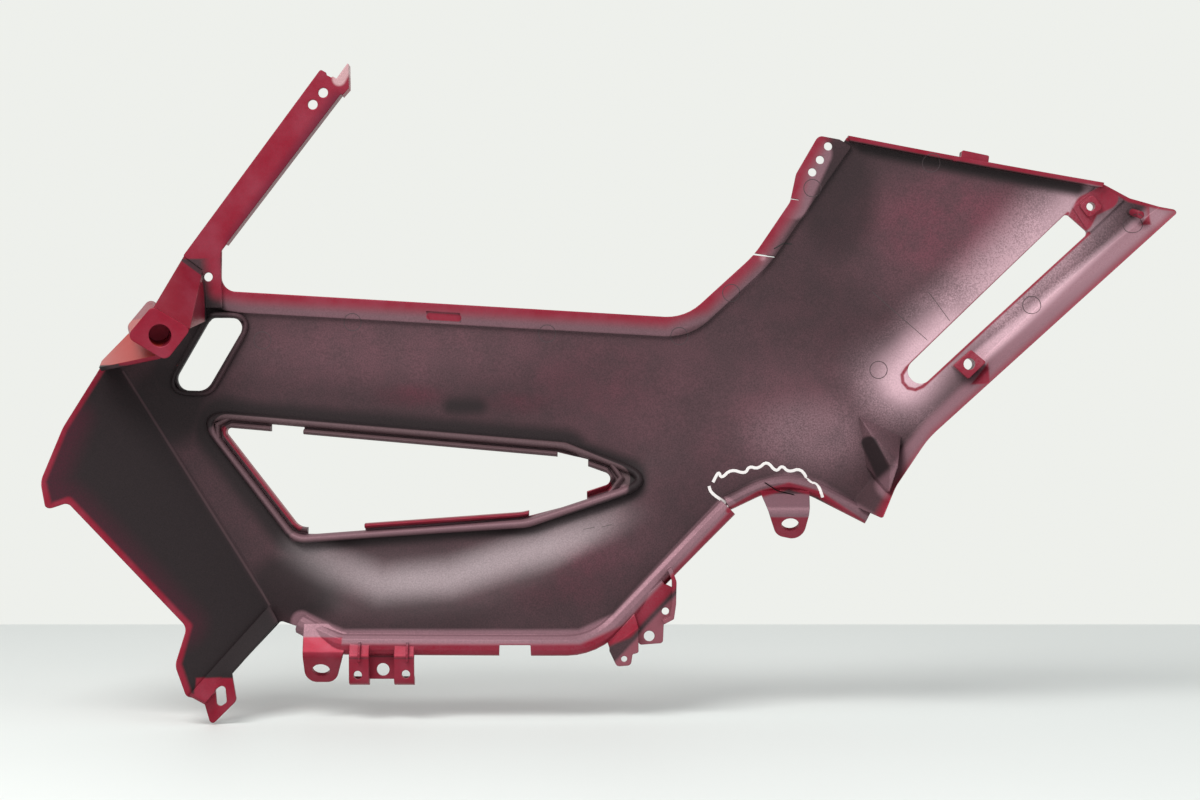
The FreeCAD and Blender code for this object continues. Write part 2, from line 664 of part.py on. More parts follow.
def on_skin(name, outline, height):
    """Layer of an outline that follows the skin and stands inboard of it by a height."""
    layer = slab(f"{name}_layer", size("wall") / 2, size(height))
    return common(name, layer, prism(f"{name}_prism", outline))


def path_points(outline, closed):
    """Points along an outline with rounded corners, each with its direction, closest on the arcs."""
    corners = OUTLINES[outline]
    names = [name for name in corners if name != "at"]
    spots = [Vector(at(f"{outline}_{n}", "x"), at(f"{outline}_{n}", "z"), 0) for n in names]
    edges = []
    count = len(names)
    ends = []
    for i, name in enumerate(names):
        if corners[name][2]:
            radius = size(f"{outline}_{name}_r")
            start, end, middle = corner_arc(spots[i - 1], spots[i], spots[(i + 1) % count], radius)
            halfway = middle + (spots[i] - middle).normalize() * radius
            ends.append((start, end, Part.Arc(start, halfway, end)))
        else:
            ends.append((spots[i], spots[i], None))
    for i in range(count):
        if ends[i][2]:
            edges.append((ends[i][2].toShape(), ARC_STEP))
        if closed or i < count - 1:
            edges.append((Part.makeLine(ends[i][1], ends[(i + 1) % count][0]), RUN_STEP))
    found = []
    for edge, step in edges:
        pieces = max(2, math.ceil(edge.Length / step))
        low, high = edge.ParameterRange
        for k in range(pieces):
            parameter = low + (high - low) * k / pieces
            found.append((edge.valueAt(parameter), edge.tangentAt(parameter)))
    if not closed:
        found.append((edge.valueAt(high), edge.tangentAt(high)))
    return [(Vector(p.x, 0, p.y), Vector(t.x, 0, t.y)) for p, t in found]


def bead(name, outline, offset, width, height, closed=False):
    """Half-round bead along a path on the skin, moved to the path's left by an offset."""
    sections = []
    for point, along in path_points(outline, closed):
        middle = point + Vector(-along.z, 0, along.x) * offset
        out = skin_normal(middle.x, middle.z)
        base = skin_point(middle.x, middle.z, 0)
        side = out.cross(along).normalize()
        crest = []
        for k in range(CREST_POINTS):
            turn = math.pi * k / (CREST_POINTS - 1)
            crest.append(base + side * (width / 2 * math.cos(turn)) - out * (height * math.sin(turn)))
        root = [crest[-1] + out * size("bead_root"), crest[0] + out * size("bead_root"), crest[0]]
        sections.append(Part.makePolygon(crest + root).Edges)
    faces = []
    for one, other in zip(sections, sections[1:] + sections[:1] * closed):
        faces += [Part.makeRuledSurface(a, b) for a, b in zip(one, other)]
    if not closed:
        faces += [Part.Face(Part.Wire(sections[0])), Part.Face(Part.Wire(sections[-1]))]
    shell = Part.makeShell(faces)
    shell.sewShape()
    solid = Part.makeSolid(shell)
    if solid.Volume < 0:
        solid.reverse()
    body = doc.addObject("Part::Feature", name)
    body.Shape = solid
    return body


# Openings through the skin, with the rims that stand round them on the inside.
window_sketch = outline_sketch("window")
slot_sketch = outline_sketch("slot")
lip = bead("lip", "window", size("lip_width") / 2 - size("rim_overlap"), size("lip_width"),
           size("lip_height"), True)
rim_width = size("rim_width") - size("lip_width") - size("groove_width")
rim = bead("rim", "window", size("rim_width") - rim_width / 2, rim_width, size("rim_height"), True)
slot_rim = bead("slot_rim", "slot", size("slot_rim_width") / 2 - size("rim_overlap"), size("slot_rim_width"),
                size("slot_rim_height"), True)
openings = [
    prism("window_cut", window_sketch),
    prism("slot_cut", slot_sketch),
    prism("long_slot_cut", outline_sketch("long_slot")),
]
for place in ("top_fore", "top_rear", "low_rear", "low_fore"):
    openings.append(prism(f"notch_{place}_cut", outline_sketch(f"notch_{place}")))

# Flanges: the stepped band along the top, the beads along the belly and the arch, the lip at the tail.
band_layer = slab("band_layer", size("wall"), 0)
band_layer.setExpression("Placement.Base.y", "-dims.joggle")
band = common("band", band_layer, prism("band_prism", outline_sketch("band")))
belly = bead("belly", "belly_bead", 0, size("belly_width"), size("bead_height"))
arch = bead("arch", "arch_bead", 0, size("arch_width"), size("bead_height"))
tail_lip = on_skin("tail_lip", outline_sketch("tail_lip"), "edge_lip")
tail_patch = on_skin("tail_patch", outline_sketch("tail_patch"), "patch_height")
tail_boss = on_skin("tail_boss", outline_sketch("tail_boss"), "tail_boss_height")

# Ears, clips and brackets along the lower edge.
ear_sheet = bent_sheet("ear_sheet", "ear_profile", "-dims.ear_half_span", "2 * dims.ear_half_span")
ear = common("ear", ear_sheet, prism("ear_prism", outline_sketch("ear")))
front_ear_start = where("front_ear_middle", "x") + " - dims.ear_half_span"
front_ear_sheet = bent_sheet("front_ear_sheet", "front_ear_profile", front_ear_start,
                             "2 * dims.ear_half_span")
front_ear = common("front_ear", front_ear_sheet, prism("front_ear_prism", outline_sketch("front_ear")))
clips = []
clip_x = where("clip_root", "x")
for place in ("fore", "rear"):
    for kind in ("clip", "rib"):
        start = f"{clip_x} + dims.{kind}_{place}_x"
        clips.append(bent_sheet(f"{kind}_{place}", f"{kind}_profile", start, f"dims.{kind}_width"))
strut_face = "dims.strut_depth - dims.wall"
strut_back = "dims.strut_depth + dims.strut_return"
plates = [
    plate("middle_plate", "dims.middle_plate_face", "dims.middle_plate_face + dims.wall"),
    plate("bracket", "dims.bracket_face", "dims.bracket_face + dims.wall"),
    plate("bracket_top", "dims.bracket_face", "dims.bracket_root"),
    plate("bracket_wall", "dims.bracket_face - dims.bracket_wall_height", "dims.bracket_root"),
    plate("prong", "dims.prong_face", "dims.prong_face + dims.wall"),
    plate("toe_tab", "dims.toe_tab_face", "dims.toe_tab_face + dims.wall"),
    plate("square_boss", "dims.square_boss_face", "dims.square_boss_back"),
    plate("clip_block", "dims.clip_block_face", "dims.clip_block_back"),
    plate("strut", strut_face, "dims.strut_depth"),
    plate("fin", strut_face, strut_back),
    plate("strut_return", strut_face, strut_back),
]

# Arm and box boss at the foot of the strut, the roof over the wing and the wall under its toe.
lean = spot("lean").normalize()
boss = doc.addObject("Part::Extrusion", "boss_block")
boss.Base = outline_sketch("boss")
boss.Base.setExpression("Placement.Base.y", where("boss_mouth", "y"))
boss.DirMode = "Custom"
boss.Dir = lean
boss.Solid = True
boss.setExpression("LengthFwd", "dims.boss_length")
walls = [
    boss,
    sloping_wall("arm_wall", "arm_top_fore", "arm_top_rear", "arm_low_rear", "arm_low_fore", size("wall")),
    sloping_wall("web_wall", "arm_top_rear", "web_top_rear", "web_low_rear", "arm_low_rear", size("wall")),
    sloping_wall("roof_wall", "roof_back_fore", "roof_back_rear", "roof_front_rear", "roof_front_fore",
                 size("wall")),
    sloping_wall("toe_wall", "toe_back_fore", "toe_back_rear", "toe_front_rear", "toe_front_fore",
                 size("wall")),
    sloping_wall("prong_wall", "prong_root_fore", "prong_root_rear", "prong_fold_rear", "prong_fold_fore",
                 size("wall")),
]

# Open pocket beside the sill: a block less the same block moved down and rearward.
POCKET_FACES = (
    ("apex", "rear", "peak_rear"), ("apex", "peak_rear", "peak"), ("apex", "peak", "fore"),
    ("fore", "peak", "front"), ("fore", "front", "low"), ("peak", "peak_rear", "front"),
    ("peak_rear", "sill", "front"), ("rear", "sill", "peak_rear"), ("low", "front", "sill"),
    ("apex", "fore", "low"), ("apex", "low", "sill"), ("apex", "sill", "rear"),
)
pocket_faces = [[f"pocket_{n}" for n in face] for face in POCKET_FACES]
pocket_block = polyhedron("pocket_block", pocket_faces, Vector())
pocket_hollow = polyhedron("pocket_hollow", pocket_faces, spot("pocket_shift"))
pocket = cut("pocket", pocket_block, pocket_hollow)

pin = rod("tail_pin", spot("pin_root"), spot("pin_tip"), "dims.pin_diameter / 2")

# One solid: the open skin, all that stands on it, less the holes and the cracks.
tilt = math.radians(size("ear_tilt"))
ear_axis = Vector(0, -math.cos(tilt), -math.sin(tilt))
front_ear_middle = spot("front_ear_middle")
boss_mouth = spot("boss_mouth")
bores = [
    rod("ear_bore_tool", ear_axis * 8, ear_axis * -8, "dims.ear_bore / 2"),
    rod("front_ear_bore_tool", front_ear_middle + ear_axis * 8, front_ear_middle - ear_axis * 8,
        "dims.front_ear_bore / 2"),
    rod("boss_bore_tool", boss_mouth - lean * 5, boss_mouth + lean * size("boss_bore_depth"),
        "dims.boss_bore / 2"),
]
cuts = [prism(f"{name}_cut", outline_sketch(name)) for name in
        ("belly_notch", "strut_notch", "toe_hole", "arm_crack", "tab_crack")]
cuts.append(prism("band_recess_cut", outline_sketch("band_recess"), "dims.reach", "dims.recess_floor"))
cuts.append(prism("arch_crack_cut", outline_sketch("arch_crack"), "dims.reach", "dims.crack_floor"))
holes = [drill(hole) for hole in HOLES]
skin_rims = fuse("skin_rims", panel, rim, lip, slot_rim)
skin_open = cut("skin_open", cut("skin_window", skin_rims, openings[0]), *openings[1:])
flanges = [band, belly, arch, tail_lip, tail_patch, tail_boss]
standing = [ear, front_ear, pin, pocket] + clips + plates + walls
whole = fuse("whole", skin_open, *flanges, *standing)
cover = cut("cover", whole, *(bores + cuts + holes))
cover.Label = "side_cover"
cover.Placement = Placement()
doc.recompute()

for item in doc.Objects:
    if "Invalid" in item.State or "Error" in item.State:
        raise SystemExit(f"{item.Name}: {item.State}")
    if hasattr(item, "Shape") and (item.Shape.isNull() or not item.Shape.isValid()):
        raise SystemExit(f"{item.Name} has no valid shape")
if len(cover.Shape.Solids) != 1:
    raise SystemExit(f"side_cover is {len(cover.Shape.Solids)} solids")
print("side_cover", round(cover.Shape.Volume), cover.Shape.BoundBox)
os.makedirs("parts", exist_ok=True)
cover.Shape.exportStep("parts/side_cover.step")
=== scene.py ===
import math

import bmesh
import bpy
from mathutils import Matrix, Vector
from mathutils.bvhtree import BVHTree


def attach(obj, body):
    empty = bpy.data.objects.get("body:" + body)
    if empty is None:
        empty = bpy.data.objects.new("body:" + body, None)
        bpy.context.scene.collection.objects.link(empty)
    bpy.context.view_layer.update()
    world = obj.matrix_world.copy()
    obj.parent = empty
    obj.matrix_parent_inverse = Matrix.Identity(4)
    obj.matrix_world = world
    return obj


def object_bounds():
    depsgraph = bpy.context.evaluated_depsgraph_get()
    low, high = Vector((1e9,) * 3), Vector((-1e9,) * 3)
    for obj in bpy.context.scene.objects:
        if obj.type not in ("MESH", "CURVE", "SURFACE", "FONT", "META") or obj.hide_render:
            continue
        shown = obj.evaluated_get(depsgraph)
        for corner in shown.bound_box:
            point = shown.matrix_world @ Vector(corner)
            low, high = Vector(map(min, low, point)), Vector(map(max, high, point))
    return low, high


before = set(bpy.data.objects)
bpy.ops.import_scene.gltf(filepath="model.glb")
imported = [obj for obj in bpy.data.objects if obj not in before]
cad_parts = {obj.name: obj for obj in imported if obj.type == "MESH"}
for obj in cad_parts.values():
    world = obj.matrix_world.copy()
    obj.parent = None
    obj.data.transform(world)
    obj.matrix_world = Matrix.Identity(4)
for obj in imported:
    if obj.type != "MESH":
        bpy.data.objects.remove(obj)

scene = bpy.context.scene
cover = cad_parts["side_cover"]
cadLow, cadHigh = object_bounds()
perMetre = 1000    # places on the cover are written in millimetres
print("frame loaded", [round(v, 4) for v in (*cadLow, *cadHigh)])


# node helpers: every value may be a number or another node's socket
def feed(tree, socket, value):
    if isinstance(value, bpy.types.NodeSocket):
        tree.links.new(value, socket)
    else:
        socket.default_value = value


def calc(tree, operation, *values):
    node = tree.nodes.new("ShaderNodeMath")
    node.operation = operation
    for socket, value in zip(node.inputs, values):
        feed(tree, socket, value)
    return node.outputs[0]


def most(tree, *masks):
    total = masks[0]
    for mask in masks[1:]:
        total = calc(tree, "MAXIMUM", total, mask)
    return total


def product(tree, *values):
    total = values[0]
    for value in values[1:]:
        total = calc(tree, "MULTIPLY", total, value)
    return total


def without(tree, mask):
    return calc(tree, "SUBTRACT", 1.0, mask)


def vecCalc(tree, operation, *values):
    node = tree.nodes.new("ShaderNodeVectorMath")
    node.operation = operation
    for socket, value in zip(node.inputs, values):
        feed(tree, socket, value)
    return node.outputs["Value" if operation in ("DOT_PRODUCT", "LENGTH") else "Vector"]


def scaled(tree, vector, factor):
    node = tree.nodes.new("ShaderNodeVectorMath")
    node.operation = "SCALE"
    feed(tree, node.inputs[0], vector)
    feed(tree, node.inputs["Scale"], factor)
    return node.outputs["Vector"]


def span(tree, value, low, high, outLow=0.0, outHigh=1.0):
    node = tree.nodes.new("ShaderNodeMapRange")
    node.interpolation_type = "SMOOTHSTEP"
    for socket, entry in zip(node.inputs, (value, low, high, outLow, outHigh)):
        feed(tree, socket, entry)
    return node.outputs[0]


def blend(tree, factor, *colors):
    node = tree.nodes.new("ShaderNodeMix")
    node.data_type = "RGBA"
    feed(tree, node.inputs[0], factor)
    for socket, color in zip(node.inputs[6:8], colors):    # the mix node's colour pair
        feed(tree, socket, color if isinstance(color, bpy.types.NodeSocket) else (*color, 1))
    return node.outputs[2]


def lerp(tree, factor, first, second):
    node = tree.nodes.new("ShaderNodeMix")
    for index, value in ((0, factor), (2, first), (3, second)):    # factor and the pair of numbers
        feed(tree, node.inputs[index], value)
    return node.outputs[0]


def cloud(tree, place, scale, detail, rough=0.5):
    node = tree.nodes.new("ShaderNodeTexNoise")
    feed(tree, node.inputs["Vector"], place)
    feed(tree, node.inputs["Scale"], scale)
    feed(tree, node.inputs["Detail"], detail)
    feed(tree, node.inputs["Roughness"], rough)
    return node.outputs[0]


def newGroup(name, inputs, outputs):
    tree = bpy.data.node_groups.new(name, "ShaderNodeTree")
    for socketName, kind in inputs:
        tree.interface.new_socket(socketName, in_out="INPUT", socket_type=f"NodeSocket{kind}")
    for socketName in outputs:
        tree.interface.new_socket(socketName, in_out="OUTPUT", socket_type="NodeSocketFloat")
    return tree, tree.nodes.new("NodeGroupInput").outputs, tree.nodes.new("NodeGroupOutput").inputs


def useGroup(tree, group, **values):
    node = tree.nodes.new("ShaderNodeGroup")
    node.node_tree = group
    for key, value in values.items():
        feed(tree, node.inputs[key], value)
    return node.outputs


# groups: masks by place on the cover, and the grain of the overspray
seenFlat = (1, 0, 1)    # strokes and patches look along Y
dustGrain = {
    "dust": (1.1, 2.0, 0.7),       # scale, detail and roughness of the noise
    "dustSpan": (0.3, 0.7),
    "cloud": (0.045, 5.0, 0.62),
    "grain": (1.6, 3.0, 0.6),
}


def makeStrokeGroup():
    inputs = (("Place", "Vector"), ("From", "Vector"), ("To", "Vector"),
              ("HalfWidth", "Float"), ("Soft", "Float"))
    tree, given, out = newGroup("sprayStroke", inputs, ("Mask",))
    flat = vecCalc(tree, "MULTIPLY", given["Place"], seenFlat)
    run = vecCalc(tree, "SUBTRACT", given["To"], given["From"])
    gone = vecCalc(tree, "SUBTRACT", flat, given["From"])
    along = vecCalc(tree, "DOT_PRODUCT", gone, run)
    share = calc(tree, "DIVIDE", along, vecCalc(tree, "DOT_PRODUCT", run, run))
    share = calc(tree, "MINIMUM", calc(tree, "MAXIMUM", share, 0.0), 1.0)
    far = vecCalc(tree, "LENGTH", vecCalc(tree, "SUBTRACT", gone, scaled(tree, run, share)))
    edge = calc(tree, "ADD", given["HalfWidth"], given["Soft"])
    tree.links.new(span(tree, far, given["HalfWidth"], edge, 1.0, 0.0), out["Mask"])
    return tree


def makePatchGroup():
    inputs = (("Place", "Vector"), ("Middle", "Vector"), ("Reach", "Vector"), ("Core", "Float"))
    tree, given, out = newGroup("sprayPatch", inputs, ("Mask",))
    flat = vecCalc(tree, "MULTIPLY", given["Place"], seenFlat)
    away = vecCalc(tree, "DIVIDE", vecCalc(tree, "SUBTRACT", flat, given["Middle"]), given["Reach"])
    far = vecCalc(tree, "LENGTH", away)
    tree.links.new(span(tree, far, given["Core"], 1.0, 1.0, 0.0), out["Mask"])
    return tree


def makeBoxGroup():
    inputs = (("Place", "Vector"), ("Low", "Vector"), ("High", "Vector"), ("Soft", "Float"))
    tree, given, out = newGroup("paintBox", inputs, ("Mask",))
    below = vecCalc(tree, "SUBTRACT", given["Low"], given["Place"])
    above = vecCalc(tree, "SUBTRACT", given["Place"], given["High"])
    split = tree.nodes.new("ShaderNodeSeparateXYZ")
    tree.links.new(vecCalc(tree, "MAXIMUM", below, above), split.inputs[0])
    far = most(tree, *split.outputs)
    tree.links.new(span(tree, far, 0.0, given["Soft"], 1.0, 0.0), out["Mask"])
    return tree


def makeDustGroup(settings):
    inputs = (("Place", "Vector"), ("Size", "Float"))
    tree, given, out = newGroup("sprayDust", inputs, ("Dust", "Cloud", "Grain"))
    fine = scaled(tree, given["Place"], given["Size"])
    specks = span(tree, cloud(tree, fine, *settings["dust"]), *settings["dustSpan"])
    tree.links.new(specks, out["Dust"])
    tree.links.new(cloud(tree, given["Place"], *settings["cloud"]), out["Cloud"])
    tree.links.new(cloud(tree, fine, *settings["grain"]), out["Grain"])
    return tree


strokeGroup = makeStrokeGroup()
patchGroup = makePatchGroup()
boxGroup = makeBoxGroup()
dustGroup = makeDustGroup(dustGrain)


def strokes(tree, place, path, halfWidth, soft):
    masks = [useGroup(tree, strokeGroup, Place=place, From=(x0, 0, z0), To=(x1, 0, z1),
                      HalfWidth=halfWidth, Soft=soft)["Mask"]
             for (x0, z0), (x1, z1) in zip(path, path[1:])]
    return most(tree, *masks)


def patches(tree, place, spots, core):
    total = 0.0
    for x, z, reachX, reachZ, weight in spots:
        patch = useGroup(tree, patchGroup, Place=place, Middle=(x, 0, z),
                         Reach=(reachX, 1, reachZ), Core=core)
        total = calc(tree, "ADD", total, product(tree, patch["Mask"], weight))
    return total


def boxes(tree, place, corners, soft):
    masks = [useGroup(tree, boxGroup, Place=place, Low=low, High=high, Soft=soft)["Mask"]
             for low, high in corners]
    return most(tree, *masks)


# a half-plane: a point of its line, the way out of it, and where the mask starts and is full
def beyond(tree, place, point, way, low, high):
    gone = vecCalc(tree, "SUBTRACT", place, (point[0], 0, point[1]))
    return span(tree, vecCalc(tree, "DOT_PRODUCT", gone, (way[0], 0, way[1])), low, high)


# the cover's colours: dark moulded plastic, red metallic paint outside, overspray inside, with painted
# highlights and painted shade
coverFinishAndPaintedLight = {
    "plastic": (0.0060, 0.0052, 0.0056),
    "plasticWorn": (0.036, 0.024, 0.027),
    "wineDark": (0.085, 0.010, 0.026),
    "spray": (0.115, 0.066, 0.076),
    "sprayWine": (0.170, 0.050, 0.072),
    "paleSprayAndHighlight": (0.66, 0.43, 0.49),
    "haze": (0.275, 0.145, 0.175),
    "rim": (0.120, 0.070, 0.078),
    "shine": (0.43, 0.35, 0.37),
    "red": (0.246, 0.0095, 0.026),
    "redPink": (0.30, 0.056, 0.088),
    "finHighlightTone": (0.62, 0.40, 0.42),
    "litSalmonPaint": (0.42, 0.036, 0.030),
    "roughness": {"bare": 0.50, "sprayed": 0.44, "haze": 0.38, "paint": 0.33, "outside": 0.22, "grain": 0.06},
    "metallic": 0.36,
    "sprayMetal": 0.5,            # the thin overspray's share of that
    "coat": 0.9,
    "coatRoughness": 0.05,
    "specularLevel": 0.15,
    "edgeRadius": 0.0010,
    "bumpStrength": 0.16,
    "bumpDistance": 0.0004,
    "raySamples": 6,
    "dustSize": 1.0,
    "outsideSpan": (0.05, 0.30),  # how far a face looks outboard
    "upwardSpan": (0.3, 0.5),
    "hollowReach": 0.022,
    "hollowSpan": (0.35, 0.95),
    "hollowShare": 0.75,
    "speckle": {                  # each layer's strength between and on the dust's specks
        "spray": (0.70, 1.25), "pale": (0.75, 1.0), "shine": (0.55, 0.75), "rim": (0.7, 1.0),
        "haze": (0.75, 0.95), "wingGlow": (0.30, 0.55), "paint": (0.85, 1.0),
    },
    "cloudSpan": (0.3, 0.7, 0.85, 1.12),
    "wineSpan": (0.35, 0.62, 0.55, 1.0),
    "pinkSpan": (0.30, 0.75),
    "pinkMost": 0.5,
    "sprayBase": 0.36,            # overspray and wine red that lie everywhere
    "wineBase": 0.30,
    "sprayCore": 0.2,             # the share of a patch that is at full strength
    "sprayed": [                  # patches: x, z, reach along x and z, weight
        (-240, 105, 150, 32, 0.45), (-60, 75, 130, 80, 0.22), (100, 170, 90, 75, 0.45),
        (20, 60, 90, 55, 0.40), (-110, -10, 60, 40, 0.20), (150, 140, 70, 70, 0.40),
    ],
    "wine": [
        (98, 178, 66, 42, 0.55), (-230, 76, 30, 10, 0.7), (-165, 72, 30, 9, 0.7),
        (-120, 85, 60, 30, 0.3), (-130, -30, 60, 30, 0.4),
    ],
    # pale overspray, partly painted highlight on faces turned to the light
    "pale": [(18, 52, 60, 32, 0.18), (-16, 160, 4, 4, 1.0), (62, 92, 40, 34, 0.28), (84, 118, 28, 28, 0.22)],
    "slotSprayAndSheen": ([(72, 84), (168, 187)], 2.0, 36.0),    # strokes: path, half width, soft edge
    "slotSprayAndSheenMost": 0.85,
    # painted highlight along the fold of the strip below the long slot
    "stripHighlight": ([(112, 98), (214, 182)], 1.5, 9.0),
    "shineLine": ([(-300, -15), (-275, -27), (-246, -37), (-204, -33), (-150, -16), (-110, 1), (-80, 18)],
                  0.5, 16.0),
    "shineReach": [(-190, -24, 140, 62, 1.0)],
    "shineCore": 0.3,
    "windowLine": ([(-340, 56), (-137, 39), (-105, 26), (-159, 6), (-294, -3), (-340, 56)], 8.8, 0.8),
    "creaseHighlightLine": ([(-404, 91), (-314, -50)], 0.15, 0.9),
    "creaseHighlightMost": 0.4,
    "wingLine": ((-404, 91), (-0.843, -0.538), -4.0, 3.0),
    "wingGlow": ([(-430, 62), (-439, 24), (-424, 10), (-360, -60)], 1.5, 17.0),
    "wingGrain": 0.9,
    "bareAndShadeMost": 0.95,
    # dark where overspray is thin, partly painted shade round the window, under the tail lip and in the
    # corners
    "bare": [
        ([(-343, 57), (-137, 39)], 13.0, 9.0),
        ([(-343, 57), (-295, -3.7)], 14.0, 10.0),
        ([(-295, -3.7), (-159, 6), (-99, 26), (-137, 39)], 10.0, 7.0),
        ([(45, 226), (170, 200)], 1.5, 6.0),
        ([(48, 48), (57, 26)], 3.0, 2.0),
        ([(-204, 70), (-188, 70)], 0.5, 9.0),
    ],
    "bareAndShadePatches": [
        (-362, 112, 36, 36, 1.0), (-378, 70, 34, 34, 1.0), (-298, -38, 40, 26, 0.9),
        (30, 196, 30, 46, 0.6), (-343, 148, 14, 16, 1.0), (-234, -56, 70, 18, 0.35),
    ],
    "bareAndShadeCore": 0.5,
    "edges": [
        ([(-349, 166), (-345, 141), (-330, 138.5), (-75, 124), (-52, 132), (-21, 161), (1, 193), (6, 212),
          (18, 232)], 0.8, 9.0),
        ([(-217, 124.5), (-200, 123.5)], 1.8, 0.8),
        ([(-272, -75), (-125, -75), (-98, -64), (-34, 3)], 2.4, 3.0),
        ([(-36, 7), (-18, 17), (0, 22), (18, 17), (48, -3)], 1.0, 2.0),
        ([(54, 0), (66, 20), (90, 52), (228, 182)], 2.2, 6.0),
        ([(35, 232), (184, 202), (200, 193), (225, 186)], 1.2, 1.6),
        ([(-413, 101), (-433, 57), (-441, 26), (-436, 10), (-426, 14), (-358, -60), (-362, -81), (-355, -99),
          (-345, -103)], 1.6, 2.4),
        ([(165, 185), (71, 93), (68.5, 89), (69, 84.5), (72, 81), (76.5, 80), (81, 82), (177, 173)],
         0.4, 1.2),
        ([(-342, 56), (-296, -3)], 1.5, 1.0),
        ([(-268, -1.5), (-159, 6), (-110, 22)], 2.6, 1.0),
    ],
    "hazes": [                    # path, half width, soft edge, weight
        ([(-336, 134), (-330, 133), (-75, 119), (-54, 127), (-24, 152), (-3, 185), (14, 226)],
         5.0, 4.0, 0.48),
        ([(2, 192), (16, 222)], 8.0, 3.0, 0.85),
        ([(-293, -60), (-268, -70), (-125, -70), (-102, -60), (-37, 8)], 5.5, 3.0, 1.0),
        ([(-36, 10), (-18, 21), (0, 26), (18, 21), (50, 1)], 2.0, 4.0, 0.6),
        ([(60, 22), (88, 56), (220, 186)], 5.0, 5.0, 1.0),
        # these two: painted highlight on the crest of the window's lower and left rim
        ([(-299, -9), (-160, -0.5), (-100, 20)], 1.6, 2.4, 0.55),
        ([(-349, 55), (-303, -5)], 1.2, 2.4, 0.3),
    ],
    "boxSoft": 1.5,
    "boxes": [
        ((-460, -80, 160), (-255, 40, 290)),      # strut
        ((-397, -60, 95), (-345, 8, 170)),        # arm and box boss
        ((-296, -60, -130), (-222, 20, -80)),     # front ear, clips, plate
        ((-298, -60, -90), (-268, -11, -68)),     # front ear's upper half
        ((-350, -80, -130), (-322, -24, -90)),    # toe tab
        ((94, -12, 84), (118, -1, 108)),          # square boss
        ((98, -20, 217.5), (120, -3, 228)),       # clip block
        ((195, -40, 178), (210, -22, 192)),       # pin
        ((-22, -40, -30), (14, 6, 3)),            # main ear's lower half
    ],
    "earBox": ((-22, -40, -30), (14, 6, 20)),
    "bracketBox": ((-112, -30, -95), (-60, 8, -20)),
    "bracketLine": ((-96, -66), (0.73, -0.68), 3.0, 6.0),
    "bracketPaint": 0.5,
    "litSalmonBox": ((-425, -46, 95), (-371, 20, 121)),
    "litSalmonSoft": 1.0,
    "finHighlightLine": ([(-272, 268), (-268, 275)], 3.0, 2.0),
    "finHighlightMost": 0.8,
    "strutShade": ([(-334, 170), (-272, 254)], 1.0, 9.0),
    "strutShadeMost": 0.75,
    "tailPatch": ([(172, 181), (176, 189), (186, 194)], 6.5, 1.5),
}


